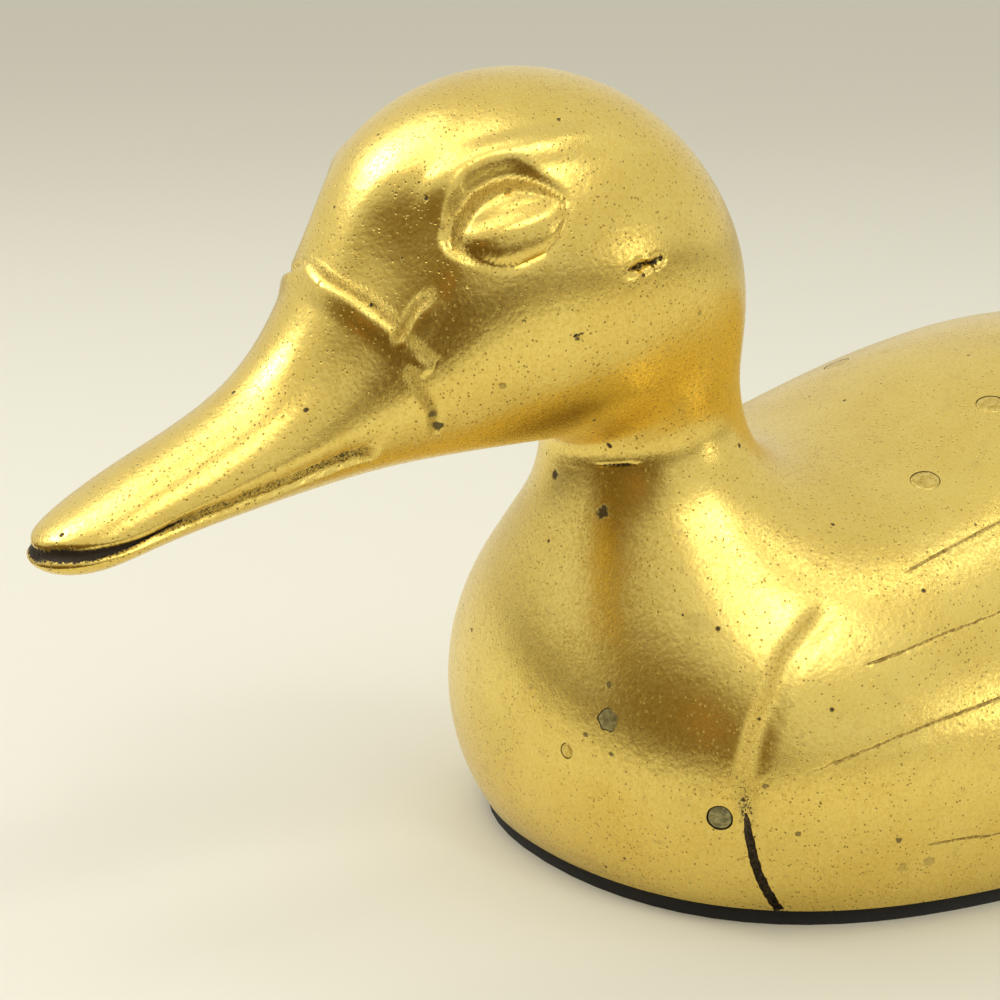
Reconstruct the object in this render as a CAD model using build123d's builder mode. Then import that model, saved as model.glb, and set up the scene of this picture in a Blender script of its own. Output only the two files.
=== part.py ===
from build123d import *
from collections import namedtuple
import os

os.makedirs("parts", exist_ok=True)

# A hollow cast brass duck. It faces -X, its left side is -Y, and it stands on z = 0.
# Its length is centred on the origin. All sizes are in millimetres.

# Bill, from its tip to its root under the forehead
bill_length = 31.5
bill_width = 21.8

# Head, from the forehead to the nape and from the chin to the crown
head_length = 66.0
head_width = 52.0
head_height = 52.2
face_reach = 61.5

# Neck, whose height is the chin's over the shoulders
neck_depth = 27.2
neck_width = 33.2
neck_height = 4.0

# Body, from the neck's axis to the tail's tip and from the ground to the back
body_length = 186.0
body_width = 107.0
body_height = 75.0
shoulder_share = 0.8333

# Casting walls, and how far cutting tools run past the metal
wall = 3.5
overrun = 5.0

# Brazed joint round the neck, where the head's spigot stands in the body's socket
braze_width = 1.4
braze_depth = 1.3
spigot_length = 5.0
spigot_clearance = 0.15

# Base: felt glued under a board that lies in a rebate inside the rim
felt_thickness = 2.5
felt_inset = 0.9
rim_width = 2.0
board_thickness = 3.0
board_clearance = 0.2
ledge_width = 3.0
ledge_thickness = 2.5

# Eyes, sunk in long recesses with a brow over each and a hollow before it
recess_radius = 11.0
recess_depth = 1.5
eye_radius = 5.5
eye_rise = 0.4
brow_radius = 2.2
brow_rise = 0.5
hollow_radius = 16.0
hollow_depth = 1.3

# Bill: the raised edge between bill and face, and the groove over the lower half
edge_radius = 0.75
edge_rise = 0.45
mouth_radius = 0.9
mouth_depth = 0.8

# Wings: the line along the front of each, a shallow channel above that narrows to a deep slit
wing_top_radius = 2.0
wing_top_depth = 0.5
wing_foot_radius = 0.8
wing_foot_depth = 1.4
# Places at which a line on the skin is laid out
line_steps = 24
rim_steps = 20

# Plugs that close the holes left by the core's pins
breast_plug_radius = 1.7
crop_plug_radius = 1.6
crop_pin_radius = 1.1
back_plug_radius = 2.2

# A rung crosses the form from its back line to its breast line, and holds in this order
# back x, back z, breast x, breast z, half width, place where widest, upper and lower fullness.
# The bill's x is a share of its length before its root, its z of the head's height over the chin.
bill_rung_shares = [
    (1.000, -0.115, 1.000, -0.144, 0.055, 0.60, 0.55, 0.55),
    (0.952, -0.075, 0.968, -0.170, 0.440, 0.60, 0.61, 0.61),
    (0.794, -0.013, 0.825, -0.182, 0.752, 0.60, 0.61, 0.61),
    (0.556, 0.067, 0.587, -0.148, 0.881, 0.62, 0.58, 0.61),
    (0.000, 0.268, 0.048, -0.075, 1.000, 0.66, 0.55, 0.61),
]
# The head's x is a share of its length behind the neck's axis.
head_rung_shares = [
    (-0.767, 0.613, -0.659, -0.023, 0.569, 0.60, 0.55, 0.58),
    (-0.667, 0.814, -0.538, -0.010, 0.769, 0.54, 0.55, 0.58),
    (-0.318, 1.000, -0.333, 0.000, 1.000, 0.50, 0.58, 0.58),
    (-0.106, 0.948, -0.258, 0.000, 1.000, 0.48, 0.58, 0.58),
    (0.176, 0.565, -0.182, -0.029, 0.808, 0.45, 0.58, 0.55),
]
# The neck's x is a share of its depth behind its axis.
neck_rung_shares = [
    (0.537, 0.335, -0.423, -0.052, 1.102, 0.47, 0.55, 0.55),
    (0.577, 0.144, -0.423, -0.105, 1.000, 0.50, 0.55, 0.55),
    (0.625, 0.019, -0.463, -0.220, 1.096, 0.50, 0.55, 0.55),
]
# The body's x is a share of its length behind the neck's axis, its z of its height.
body_rung_shares = [
    (0.108, 0.837, -0.084, 0.613, 0.439, 0.52, 0.54, 0.55),
    (0.183, 0.820, -0.106, 0.293, 0.720, 0.56, 0.52, 0.58),
    (0.237, 0.860, -0.087, 0.080, 0.841, 0.56, 0.52, 0.61),
    (0.301, 0.920, 0.011, -0.160, 0.935, 0.55, 0.54, 0.64),
    (0.382, 0.973, 0.226, -0.267, 0.991, 0.53, 0.55, 0.66),
    (0.473, 0.993, 0.441, -0.280, 1.000, 0.52, 0.57, 0.66),
    (0.699, 0.920, 0.726, -0.053, 0.785, 0.48, 0.58, 0.61),
    (0.806, 0.853, 0.828, 0.213, 0.579, 0.47, 0.58, 0.58),
    (0.898, 0.820, 0.903, 0.453, 0.383, 0.47, 0.58, 0.58),
    (0.962, 0.820, 0.962, 0.653, 0.224, 0.50, 0.58, 0.58),
    (1.000, 0.807, 1.000, 0.780, 0.011, 0.50, 0.55, 0.55),
]

# Places on the left flank, as x and z shares of the head or the body, like the rungs
recess_shares = [(-0.580, 0.622), (-0.515, 0.648), (-0.450, 0.676)]
eye_share = (-0.515, 0.648)
hollow_share = (-0.685, 0.570)
brow_shares = [
    (-0.652, 0.644), (-0.617, 0.736), (-0.550, 0.799), (-0.474, 0.826), (-0.362, 0.843), (-0.258, 0.847),
]
# Places on the face, as shares of half the head's width and of its height over the chin
edge_shares = [
    (0.000, 0.516), (0.227, 0.492), (0.380, 0.446), (0.470, 0.414), (0.546, 0.375), (0.588, 0.352),
    (0.592, 0.314), (0.600, 0.268), (0.608, 0.228), (0.600, 0.182), (0.515, 0.094),
]
# Places along the mouth, as x and z shares of the bill
mouth_shares = [
    (0.945, -0.114), (0.813, -0.107), (0.640, -0.089), (0.451, -0.052), (0.265, -0.027),
    (0.070, 0.002), (-0.133, 0.034), (-0.305, 0.060), (-0.419, 0.060),
]
# Places on the body's left flank
wing_shares = [
    (0.055, 0.631), (0.024, 0.577), (0.003, 0.533), (-0.013, 0.466), (-0.024, 0.413), (-0.031, 0.345),
    (-0.032, 0.285), (-0.028, 0.216), (-0.019, 0.145), (-0.006, 0.085), (0.009, 0.035),
]
breast_plug_share = (-0.044, 0.240)
back_plug_shares = [(0.197, 0.776), (0.298, 0.885)]
# Places on the body's front, as shares of half its width and of its height
crop_plug_share = (0.363, 0.388)
crop_pin_share = (0.236, 0.304)
throat_share = (-0.426, -0.115)
nape_share = (0.603, 0.019)

# Anchors of the groups
neck_x = (face_reach + bill_length - body_length) / 2
chin_z = body_height * shoulder_share + neck_height


def at_bill(x_share, z_share):
    """Place on the mirror plane from shares of the bill"""
    return Vector(neck_x - face_reach - bill_length * x_share, 0, chin_z + head_height * z_share)


def at_head(x_share, z_share):
    """Place on the mirror plane from shares of the head"""
    return Vector(neck_x + head_length * x_share, 0, chin_z + head_height * z_share)


def at_neck(x_share, z_share):
    """Place on the mirror plane from shares of the neck"""
    return Vector(neck_x + neck_depth * x_share, 0, chin_z + head_height * z_share)


def at_body(x_share, z_share):
    """Place on the mirror plane from shares of the body"""
    return Vector(neck_x + body_length * x_share, 0, body_height * z_share)


Rung = namedtuple("Rung", "back breast half_width widest upper lower")
groups = (
    (bill_rung_shares, at_bill, bill_width),
    (head_rung_shares, at_head, head_width),
    (neck_rung_shares, at_neck, neck_width),
    (body_rung_shares, at_body, body_width),
)
rungs = []
for group_shares, place, width in groups:
    for back_x, back_z, breast_x, breast_z, half, widest, upper, lower in group_shares:
        back, breast = place(back_x, back_z), place(breast_x, breast_z)
        rungs.append(Rung(back, breast, half * width / 2, widest, upper, lower))


def rung_face(rung, inset):
    """Closed section on a rung, drawn as four curved quarters that lie inside the skin by the inset"""
    down = (rung.breast - rung.back).normalized()
    across = Vector(0, 1, 0)
    plane = Plane(origin=rung.back + down * inset, x_dir=across, z_dir=across.cross(down))
    depth = (rung.breast - rung.back).length - 2 * inset
    waist = depth * rung.widest
    half = rung.half_width - inset
    high = waist * (1 - rung.upper)
    low = waist + (depth - waist) * rung.lower
    quarters = [
        [(0, 0), (half * rung.upper, 0), (half, high), (half, waist)],
        [(half, waist), (half, low), (half * rung.lower, depth), (0, depth)],
        [(0, depth), (-half * rung.lower, depth), (-half, low), (-half, waist)],
        [(-half, waist), (-half, high), (-half * rung.upper, 0), (0, 0)],
    ]
    curves = []
    for quarter in quarters:
        curves.append(Bezier(*[plane.from_local_coords(Vector(*point)) for point in quarter]))
    return Face(Wire(curves))


def duck_form(inset):
    """The duck's whole form, inside its skin by the inset"""
    thick = [rung for rung in rungs if rung.half_width > 2 * inset]
    deep = [rung for rung in thick if (rung.breast - rung.back).length > 4 * inset]
    sections = [rung_face(rung, inset) for rung in deep]
    with BuildPart() as form:
        loft(sections=sections)
    return form.part


skin = duck_form(0)
skin_shell = skin.shells()[0]
cavity = duck_form(wall)


def skin_touch(sight, level):
    """Plane that touches the skin where a sight line first meets it, with z outward and x near level"""
    hits = skin_shell.find_intersection_points(sight)
    point, outward = min(hits, key=lambda hit: (hit[0] - sight.position).length)
    return Plane(origin=point, x_dir=level - outward * outward.dot(level), z_dir=outward)


def flank(place):
    """Plane that touches the left flank at a place, with x backward and y upward"""
    return skin_touch(Axis((place.X, -body_width, place.Z), (0, 1, 0)), Vector(1, 0, 0))


def front(place):
    """Plane that touches the left half of the face or the breast from the front, with x leftward"""
    return skin_touch(Axis((-body_length, place.Y, place.Z), (1, 0, 0)), Vector(0, -1, 0))


def mirrored(plane):
    """The same plane on the right side"""
    origin, level, outward = plane.origin, plane.x_dir, plane.z_dir
    return Plane(
        origin=(origin.X, -origin.Y, origin.Z),
        x_dir=(level.X, -level.Y, level.Z),
        z_dir=(outward.X, -outward.Y, outward.Z),
    )


def line_touches(places, touch, count):
    """Planes that touch the skin at even steps along a smooth line through the places"""
    line = Spline(*places)
    return [touch(line @ (step / (count - 1))) for step in range(count)]


def ramp(start, end, count):
    """Evenly spaced values from a start to an end"""
    return [start + (end - start) * step / (count - 1) for step in range(count)]


def skin_bar(touches, radii, rises):
    """Round bar along the skin, its far side at each rise over the planes that touch the skin"""
    lifts = [rise - radius for radius, rise in zip(radii, rises)]
    centres = [touch.origin + touch.z_dir * lift for touch, lift in zip(touches, lifts)]
    ahead = centres[1:] + centres[-1:]
    behind = centres[:1] + centres[:-1]
    with BuildPart() as bar:
        for touch, centre, after, before, radius in zip(touches, centres, ahead, behind, radii):
            with BuildSketch(Plane(origin=centre, x_dir=touch.z_dir, z_dir=after - before)):
                Circle(radius)
        loft()
    return bar.part


def skin_groove(touches, radii, depths):
    """Round cutter along the skin that cuts to each depth"""
    rises = [2 * radius - depth for radius, depth in zip(radii, depths)]
    return skin_bar(touches, radii, rises)


def both_sides(forms):
    """The forms of the left side with their mirror images"""
    return forms + [form.mirror(Plane.XZ) for form in forms]


def balls(touches, radius, rise):
    """Balls whose far sides stand at a rise over the planes that touch the skin"""
    with BuildPart() as group:
        for touch in touches:
            with Locations(touch.offset(rise - radius)):
                Sphere(radius)
    return group.part


def above(form, plane):
    """The share of a form on a plane's upper side"""
    with BuildPart() as upper_share:
        add(form)
        split(bisect_by=plane, keep=Keep.TOP)
    return upper_share.part


foot = above(skin, Plane.XY.offset(felt_thickness)).faces().sort_by(Axis.Z)[0]
rim_wire = foot.outer_wire()


def rim_point(run, inset):
    """Point beside the rim of the foot, inside it by the inset"""
    place, along = rim_wire.position_at(run), rim_wire.tangent_at(run)
    across = along.cross(Vector(0, 0, 1))
    inward = across if across.dot(foot.center() - place) > 0 else -across
    return Vector(place.X + inward.X * inset, place.Y + inward.Y * inset)


def base_prism(inset, low, high):
    """Prism that follows the outline of the brass foot, inside it by the inset"""
    with BuildPart() as prism:
        with BuildSketch(Plane.XY.offset(low)):
            with BuildLine():
                Spline(*[rim_point(step / rim_steps, inset) for step in range(rim_steps)], periodic=True)
            make_face()
        extrude(amount=high - low)
    return prism.part


# Joint plane through the throat and the nape, facing the head
throat, nape = at_neck(*throat_share), at_neck(*nape_share)
joint_line = nape - throat
joint = Plane(origin=(throat + nape) / 2, x_dir=joint_line, z_dir=joint_line.cross(Vector(0, 1, 0)))
joint_half_depth = joint_line.length / 2
joint_half_width = -flank(joint.origin).origin.Y


def neck_oval(low, high, inset):
    """Oval prism across the neck between two heights over the joint, inside the skin by the inset"""
    with BuildPart() as prism:
        with BuildSketch(joint.offset(low)):
            Ellipse(joint_half_depth - inset, joint_half_width - inset)
        extrude(amount=high - low)
    return prism.part


# Lines and hollows of the head
recess_touches = [flank(at_head(*share)) for share in recess_shares]
recess = balls(recess_touches, recess_radius, 2 * recess_radius - recess_depth)
eyeball = balls([flank(at_head(*eye_share))], eye_radius, eye_rise)
hollow = balls([flank(at_head(*hollow_share))], hollow_radius, 2 * hollow_radius - hollow_depth)
brow_touches = line_touches([at_head(*share) for share in brow_shares], flank, line_steps)
brow = skin_bar(brow_touches, [brow_radius] * line_steps, [0] + [brow_rise] * (line_steps - 2) + [0])
edge_places = [at_head(0, z_share) - Vector(0, head_width / 2 * y_share) for y_share, z_share in edge_shares]
edge_half = line_touches(edge_places, front, line_steps)
edge_touches = edge_half[::-1] + [mirrored(touch) for touch in edge_half[1:]]
edge_count = len(edge_touches)
bill_edge = skin_bar(edge_touches, [edge_radius] * edge_count, [edge_rise] * edge_count)
mouth_touches = line_touches([at_bill(*share) for share in mouth_shares], flank, line_steps)
mouth = skin_groove(mouth_touches, [mouth_radius] * line_steps, [0] + [mouth_depth] * (line_steps - 1))

with BuildPart() as head_casting:
    add(skin)
    split(bisect_by=joint.offset(braze_width), keep=Keep.TOP)
    add(both_sides([hollow]), mode=Mode.SUBTRACT)
    add(both_sides([brow]) + [bill_edge])
    add(both_sides([recess, mouth]), mode=Mode.SUBTRACT)
    add(both_sides([eyeball]))
    add(cavity, mode=Mode.SUBTRACT)
    add(neck_oval(-spigot_length, braze_width, braze_depth))
    add(neck_oval(-spigot_length - overrun, braze_width, wall), mode=Mode.SUBTRACT)

with BuildPart() as neck_braze_ring:
    add(skin)
    split(bisect_by=joint, keep=Keep.TOP)
    split(bisect_by=joint.offset(braze_width), keep=Keep.BOTTOM)
    add(neck_oval(-overrun, braze_width + overrun, braze_depth), mode=Mode.SUBTRACT)

# Lines of the wings
wing_touches = line_touches([at_body(*share) for share in wing_shares], flank, line_steps)
wing_radii = ramp(wing_top_radius, wing_foot_radius, line_steps)
wing_depths = [0] + ramp(wing_top_depth, wing_foot_depth, line_steps - 1)
wing_lines = [skin_groove(wing_touches, wing_radii, wing_depths)]

ledge_z = felt_thickness + board_thickness
floor_z = ledge_z + ledge_thickness

with BuildPart() as body_casting:
    add(skin)
    split(bisect_by=joint, keep=Keep.BOTTOM)
    split(bisect_by=Plane.XY.offset(felt_thickness), keep=Keep.TOP)
    add(both_sides(wing_lines), mode=Mode.SUBTRACT)
    add(above(cavity, Plane.XY.offset(floor_z)), mode=Mode.SUBTRACT)
    add(base_prism(rim_width + ledge_width, 0, floor_z), mode=Mode.SUBTRACT)
    add(base_prism(rim_width, 0, ledge_z), mode=Mode.SUBTRACT)
    socket_depth = spigot_length + spigot_clearance
    add(neck_oval(-socket_depth, overrun, braze_depth - spigot_clearance), mode=Mode.SUBTRACT)

# Plugs as long as the wall is thick, filed flush with the skin: three pairs, and two on the left alone
plugs = []
for name, share, radius in (
    ("breast_plug", breast_plug_share, breast_plug_radius),
    ("fore_back_plug", back_plug_shares[0], back_plug_radius),
    ("aft_back_plug", back_plug_shares[1], back_plug_radius),
):
    touch = flank(at_body(*share))
    plugs += [(name + "_left", touch, radius), (name + "_right", mirrored(touch), radius)]
for name, (y_share, z_share), radius in (
    ("crop_plug_left", crop_plug_share, crop_plug_radius),
    ("crop_pin_left", crop_pin_share, crop_pin_radius),
):
    plugs.append((name, front(at_body(0, z_share) - Vector(0, body_width / 2 * y_share)), radius))

drills = []
plug_parts = []
for name, touch, radius in plugs:
    with BuildPart() as drill:
        with BuildSketch(touch.offset(overrun)):
            Circle(radius)
        extrude(amount=-overrun - 2 * wall)
    with BuildPart() as plug:
        with BuildSketch(touch.offset(-wall)):
            Circle(radius)
        extrude(amount=wall + overrun)
        add(skin, mode=Mode.INTERSECT)
    plug.part.label = name
    drills.append(drill.part)
    plug_parts.append(plug.part)

with body_casting:
    add(drills, mode=Mode.SUBTRACT)

with BuildPart() as base_board:
    add(base_prism(rim_width + board_clearance, felt_thickness, ledge_z))

with BuildPart() as felt_pad:
    add(base_prism(felt_inset, 0, felt_thickness))

head_casting.part.label = "head_casting"
body_casting.part.label = "body_casting"
neck_braze_ring.part.label = "neck_braze_ring"
base_board.part.label = "base_board"
felt_pad.part.label = "felt_pad"

pieces = [head_casting, body_casting, neck_braze_ring, base_board, felt_pad]
for piece in [built.part for built in pieces] + plug_parts:
    export_step(piece, "parts/" + piece.label + ".step")
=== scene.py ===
import bpy
import bmesh
import math
import numpy as np
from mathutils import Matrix, Quaternion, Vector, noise
from mathutils.bvhtree import BVHTree


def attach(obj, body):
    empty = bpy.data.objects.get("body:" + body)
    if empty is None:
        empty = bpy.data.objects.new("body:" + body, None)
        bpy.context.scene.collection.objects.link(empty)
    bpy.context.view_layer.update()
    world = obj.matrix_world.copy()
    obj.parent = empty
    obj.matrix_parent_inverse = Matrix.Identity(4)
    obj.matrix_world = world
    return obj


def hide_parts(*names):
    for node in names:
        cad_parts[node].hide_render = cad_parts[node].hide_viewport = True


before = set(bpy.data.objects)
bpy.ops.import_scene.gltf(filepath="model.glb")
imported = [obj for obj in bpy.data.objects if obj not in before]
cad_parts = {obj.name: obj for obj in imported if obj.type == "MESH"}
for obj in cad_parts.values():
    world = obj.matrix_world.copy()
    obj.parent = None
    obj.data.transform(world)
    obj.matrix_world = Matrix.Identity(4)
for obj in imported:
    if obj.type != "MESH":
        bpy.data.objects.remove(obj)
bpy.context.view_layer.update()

# The skin that both castings share: bill, head, neck and body in one flowing form.
# The pattern maker draws it as rungs from the back line to the breast line, fanned from
# level across the bill to upright across the body, and fairs a smooth surface over them.
bill_length = 0.0315
bill_width = 0.0218
head_length = 0.066
head_width = 0.052
head_height = 0.0522
face_reach = 0.0615
neck_depth = 0.0272
neck_width = 0.0332
neck_height = 0.004
body_length = 0.186
body_width = 0.107
body_height = 0.075
shoulder_share = 0.8333
neck_x = (face_reach + bill_length - body_length) / 2
chin_z = body_height * shoulder_share + neck_height

# Each rung holds back x and z, breast x and z, half width, place where widest, and upper and lower
# fullness, as shares of its part's sizes
bill_rung_shares = [
    (1.000, -0.115, 1.000, -0.144, 0.055, 0.60, 0.55, 0.55),
    (0.952, -0.075, 0.968, -0.170, 0.440, 0.60, 0.61, 0.61),
    (0.794, -0.013, 0.825, -0.182, 0.752, 0.60, 0.61, 0.61),
    (0.556, 0.067, 0.587, -0.148, 0.881, 0.62, 0.58, 0.61),
    (0.000, 0.268, 0.048, -0.075, 1.000, 0.66, 0.55, 0.61),
]
head_rung_shares = [
    (-0.767, 0.613, -0.659, -0.023, 0.569, 0.60, 0.55, 0.58),
    (-0.667, 0.814, -0.538, -0.010, 0.769, 0.54, 0.55, 0.58),
    (-0.318, 1.000, -0.333, 0.000, 1.000, 0.50, 0.58, 0.58),
    (-0.106, 0.948, -0.258, 0.000, 1.000, 0.48, 0.58, 0.58),
    (0.176, 0.565, -0.182, -0.029, 0.808, 0.45, 0.58, 0.55),
]
neck_rung_shares = [
    (0.537, 0.335, -0.423, -0.052, 1.102, 0.47, 0.55, 0.55),
    (0.577, 0.144, -0.423, -0.105, 1.000, 0.50, 0.55, 0.55),
    (0.625, 0.019, -0.463, -0.220, 1.096, 0.50, 0.55, 0.55),
]
body_rung_shares = [
    (0.108, 0.837, -0.084, 0.613, 0.439, 0.52, 0.54, 0.55),
    (0.183, 0.820, -0.106, 0.293, 0.720, 0.56, 0.52, 0.58),
    (0.237, 0.860, -0.087, 0.080, 0.841, 0.56, 0.52, 0.61),
    (0.301, 0.920, 0.011, -0.160, 0.935, 0.55, 0.54, 0.64),
    (0.382, 0.973, 0.226, -0.267, 0.991, 0.53, 0.55, 0.66),
    (0.473, 0.993, 0.441, -0.280, 1.000, 0.52, 0.57, 0.66),
    (0.699, 0.920, 0.726, -0.053, 0.785, 0.48, 0.58, 0.61),
    (0.806, 0.853, 0.828, 0.213, 0.579, 0.47, 0.58, 0.58),
    (0.898, 0.820, 0.903, 0.453, 0.383, 0.47, 0.58, 0.58),
    (0.962, 0.820, 0.962, 0.653, 0.224, 0.50, 0.58, 0.58),
    (1.000, 0.807, 1.000, 0.780, 0.011, 0.50, 0.55, 0.55),
]
last_head_rung = len(bill_rung_shares) + len(head_rung_shares) - 1
first_body_rung = last_head_rung + len(neck_rung_shares) + 1


def places_by(start_x, start_z, x_size, z_size):
    """Way to name places on the mirror plane, by shares of the sizes of one part of the form"""
    return lambda x_share, z_share: np.array([start_x + x_size * x_share, 0, start_z + z_size * z_share])


at_bill = places_by(neck_x - face_reach, chin_z, -bill_length, head_height)
at_head = places_by(neck_x, chin_z, head_length, head_height)
at_neck = places_by(neck_x, chin_z, neck_depth, head_height)
at_body = places_by(neck_x, 0, body_length, body_height)


def rung_poles(back, breast, half_width, widest, upper, lower):
    """Seven poles of the left half of a section, from the back round the side to the breast"""
    chord = breast - back
    side = np.array([0, -half_width, 0])
    waist = chord * widest
    return [
        back,
        back + side * upper,
        back + side + waist * (1 - upper),
        back + side + waist,
        back + side + waist + (chord - waist) * lower,
        breast + side * lower,
        breast,
    ]


poles = []
for rung_shares, place, width in (
    (bill_rung_shares, at_bill, bill_width),
    (head_rung_shares, at_head, head_width),
    (neck_rung_shares, at_neck, neck_width),
    (body_rung_shares, at_body, body_width),
):
    for back_x, back_z, breast_x, breast_z, half, widest, upper, lower in rung_shares:
        back, breast = place(back_x, back_z), place(breast_x, breast_z)
        poles.append(rung_poles(back, breast, half * width / 2, widest, upper, lower))
poles = np.array(poles)
rung_count = len(poles)

# Rungs stand as far apart along the form as their poles do, and the fairing curve passes through each
pole_steps = np.sqrt((np.diff(poles[:, :6], axis=0) ** 2).sum(axis=(1, 2)))
stations = np.concatenate([[0], np.cumsum(pole_steps)]) / pole_steps.sum()
end_rungs = 8
curve_rule = np.eye(rung_count)
curve_values = np.zeros((rung_count, poles[0].size))
flat_poles = poles.reshape(rung_count, -1)
for end, near in ((0, slice(0, end_rungs)), (-1, slice(-end_rungs, None))):
    powers = np.vander(stations[near] - stations[end], end_rungs)
    curve_values[end] = np.linalg.solve(powers, flat_poles[near])[-2]
for index in range(1, rung_count - 1):
    before, after = np.diff(stations[index - 1:index + 2])
    rise_before, rise_after = np.diff(flat_poles[index - 1:index + 2], axis=0)
    curve_rule[index, index - 1:index + 2] = after, 2 * (before + after), before
    curve_values[index] = 3 * (rise_before * after / before + rise_after * before / after)
pole_slopes = np.linalg.solve(curve_rule, curve_values).reshape(poles.shape)


def between(start, end, start_slope, end_slope, t):
    """Value some way along the smooth curve from a start to an end that has these slopes there"""
    return (
        start * (1 + 2 * t) * (1 - t) ** 2
        + end * t**2 * (3 - 2 * t)
        + start_slope * t * (1 - t) ** 2
        - end_slope * t**2 * (1 - t)
    )


def skin(along, around):
    """Places on the left half of the skin, from bill 0 to tail 1 and round from back 0 to breast 1"""
    along, around = np.broadcast_arrays(along, around)
    low = np.clip(np.searchsorted(stations, along, side="right") - 1, 0, rung_count - 2)
    span = (stations[low + 1] - stations[low])[..., None, None]
    t = (along - stations[low])[..., None, None] / span
    here = between(poles[low], poles[low + 1], pole_slopes[low] * span, pole_slopes[low + 1] * span, t)
    quarter = np.where((around < 0.5)[..., None, None], here[..., 0:4, :], here[..., 3:7, :])
    turn = np.where(around < 0.5, around * 2, around * 2 - 1)[..., None]
    pulls = ((1 - turn) ** 3, 3 * turn * (1 - turn) ** 2, 3 * turn**2 * (1 - turn), turn**3)
    return sum(quarter[..., pole, :] * pull for pole, pull in enumerate(pulls))


def grid_faces(grid):
    """Faces of a grid of points, as the numbers of their corners"""
    corners = np.arange(grid.shape[0] * grid.shape[1]).reshape(grid.shape[:2])
    faces = np.stack([corners[:-1, :-1], corners[:-1, 1:], corners[1:, 1:], corners[1:, :-1]], axis=2)
    return faces.reshape(-1, 4).tolist()


# Plain copy of the skin, on which lines and plugs are laid out by sighting from the side or the front
sight_rows = 361
sight_columns = 121
sight_grid = skin(np.linspace(0, 1, sight_rows)[:, None], np.linspace(0, 1, sight_columns))
sight_tree = BVHTree.FromPolygons(sight_grid.reshape(-1, 3).tolist(), grid_faces(sight_grid))


def sighted(start, toward):
    """Place where a sight line first meets the skin, and the outward direction there"""
    toward = Vector(toward)
    hit, outward, _, _ = sight_tree.ray_cast(Vector(start), toward)
    return np.array(hit), np.array(outward if outward.dot(toward) < 0 else -outward)


def on_flank(place):
    """Place on the left flank straight across from a place on the mirror plane, and its outward direction"""
    return sighted((place[0], -body_width, place[2]), (0, 1, 0))


def on_front(place):
    """Place on the left half of the face or the breast straight behind a place seen from the front"""
    return sighted((-body_length, place[1], place[2]), (1, 0, 0))


def smooth_line(places, steps=8):
    """Points along a smooth line through the places"""
    places = np.array(places)
    slopes = (np.concatenate([places[1:], places[-1:]]) - np.concatenate([places[:1], places[:-1]])) / 2
    t = np.linspace(0, 1, steps, endpoint=False)[:, None]
    spans = zip(places[:-1], places[1:], slopes[:-1], slopes[1:])
    return np.concatenate([between(*span, t) for span in spans] + [places[-1:]])


def travel(places):
    """Way travelled along a line up to each of its places"""
    return np.concatenate([[0], np.cumsum(np.linalg.norm(np.diff(places, axis=0), axis=1))])


def laid_line(place_by, shares, touch, step):
    """Even points of a smooth line through places, laid on the skin, and the outward directions there"""
    touches = np.array([touch(place) for place in smooth_line([place_by(*share) for share in shares])])
    travelled = travel(touches[:, 0])
    even = np.linspace(0, travelled[-1], int(travelled[-1] / step) + 2)
    columns = [np.interp(even, travelled, values) for values in touches.reshape(len(touches), 6).T]
    line, outs = np.array(columns[:3]).T, np.array(columns[3:]).T
    return line, outs / np.linalg.norm(outs, axis=1, keepdims=True)


def from_line(points, line, outs):
    """Each point's gap from a line on the skin, share of the way along it, and signed distance aside"""
    nearest = np.full(len(points), 1.0)
    share, aside = np.zeros(len(points)), np.zeros(len(points))
    for index, (start, end, outward) in enumerate(zip(line[:-1], line[1:], outs)):
        run = end - start
        t = np.clip(((points - start) @ run) / (run @ run), 0, 1)
        offset = points - start - t[:, None] * run
        gap = np.linalg.norm(offset, axis=1)
        closer = gap < nearest
        left = np.cross(outward, run / np.linalg.norm(run))
        nearest = np.where(closer, gap, nearest)
        share = np.where(closer, (index + t) / (len(line) - 1), share)
        aside = np.where(closer, offset @ left, aside)
    return nearest, share, aside


def swell(gap, width):
    """Smooth hump, 1 on a line and 0 from a width away"""
    t = np.clip(gap / width, 0, 1)
    return (1 - t * t) ** 2


def ease(value, start, end):
    """Smooth rise from 0 at the start to 1 at the end"""
    t = np.clip((value - start) / (end - start), 0, 1)
    return t * t * (3 - 2 * t)


def uneven(points, size, seed=0):
    """Smooth chance values from -1 to 1, with lumps of one size"""
    shift = Vector((seed * 7.3, seed * 3.1, seed * 5.7))
    return np.array([noise.noise(Vector(point) / size + shift) for point in points])


# The brass both castings are poured from, cast rough and polished by hand. It holds pin holes
# that the polish opened, a thin tarnish in patches, and old polish and soot in every crease, with painted
# shade there too.
brass_colour = (0.88, 0.68, 0.19, 1)
deep_brass_colour = (0.70, 0.47, 0.08, 1)
tarnish_colour = (0.46, 0.34, 0.12, 1)
pit_colour = (0.24, 0.15, 0.035, 1)
soot_colour = (0.035, 0.022, 0.010, 1)

# Spacing of pin holes and of large specks, and sizes of lumps, in millimetres
pin_hole_step = 0.62
speck_step = 3.2
swarm_size = 16.0
stain_size = 7.0
wave_size = 2.2
grain_size = 0.55
crust_size = 0.5
sand_size = 0.4
speckle_size = 0.35


def add_node(tree, kind, **values):
    """Shader node of a kind, with its settings or its unlinked inputs set by name"""
    node = tree.nodes.new(kind)
    for name, value in values.items():
        if hasattr(node, name):
            setattr(node, name, value)
        else:
            node.inputs[name.replace("_", " ")].default_value = value
    return node


def link(output, node, socket):
    """Leads an output into a node's input, given by name or number"""
    output.id_data.links.new(output, node.inputs[socket])


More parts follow.
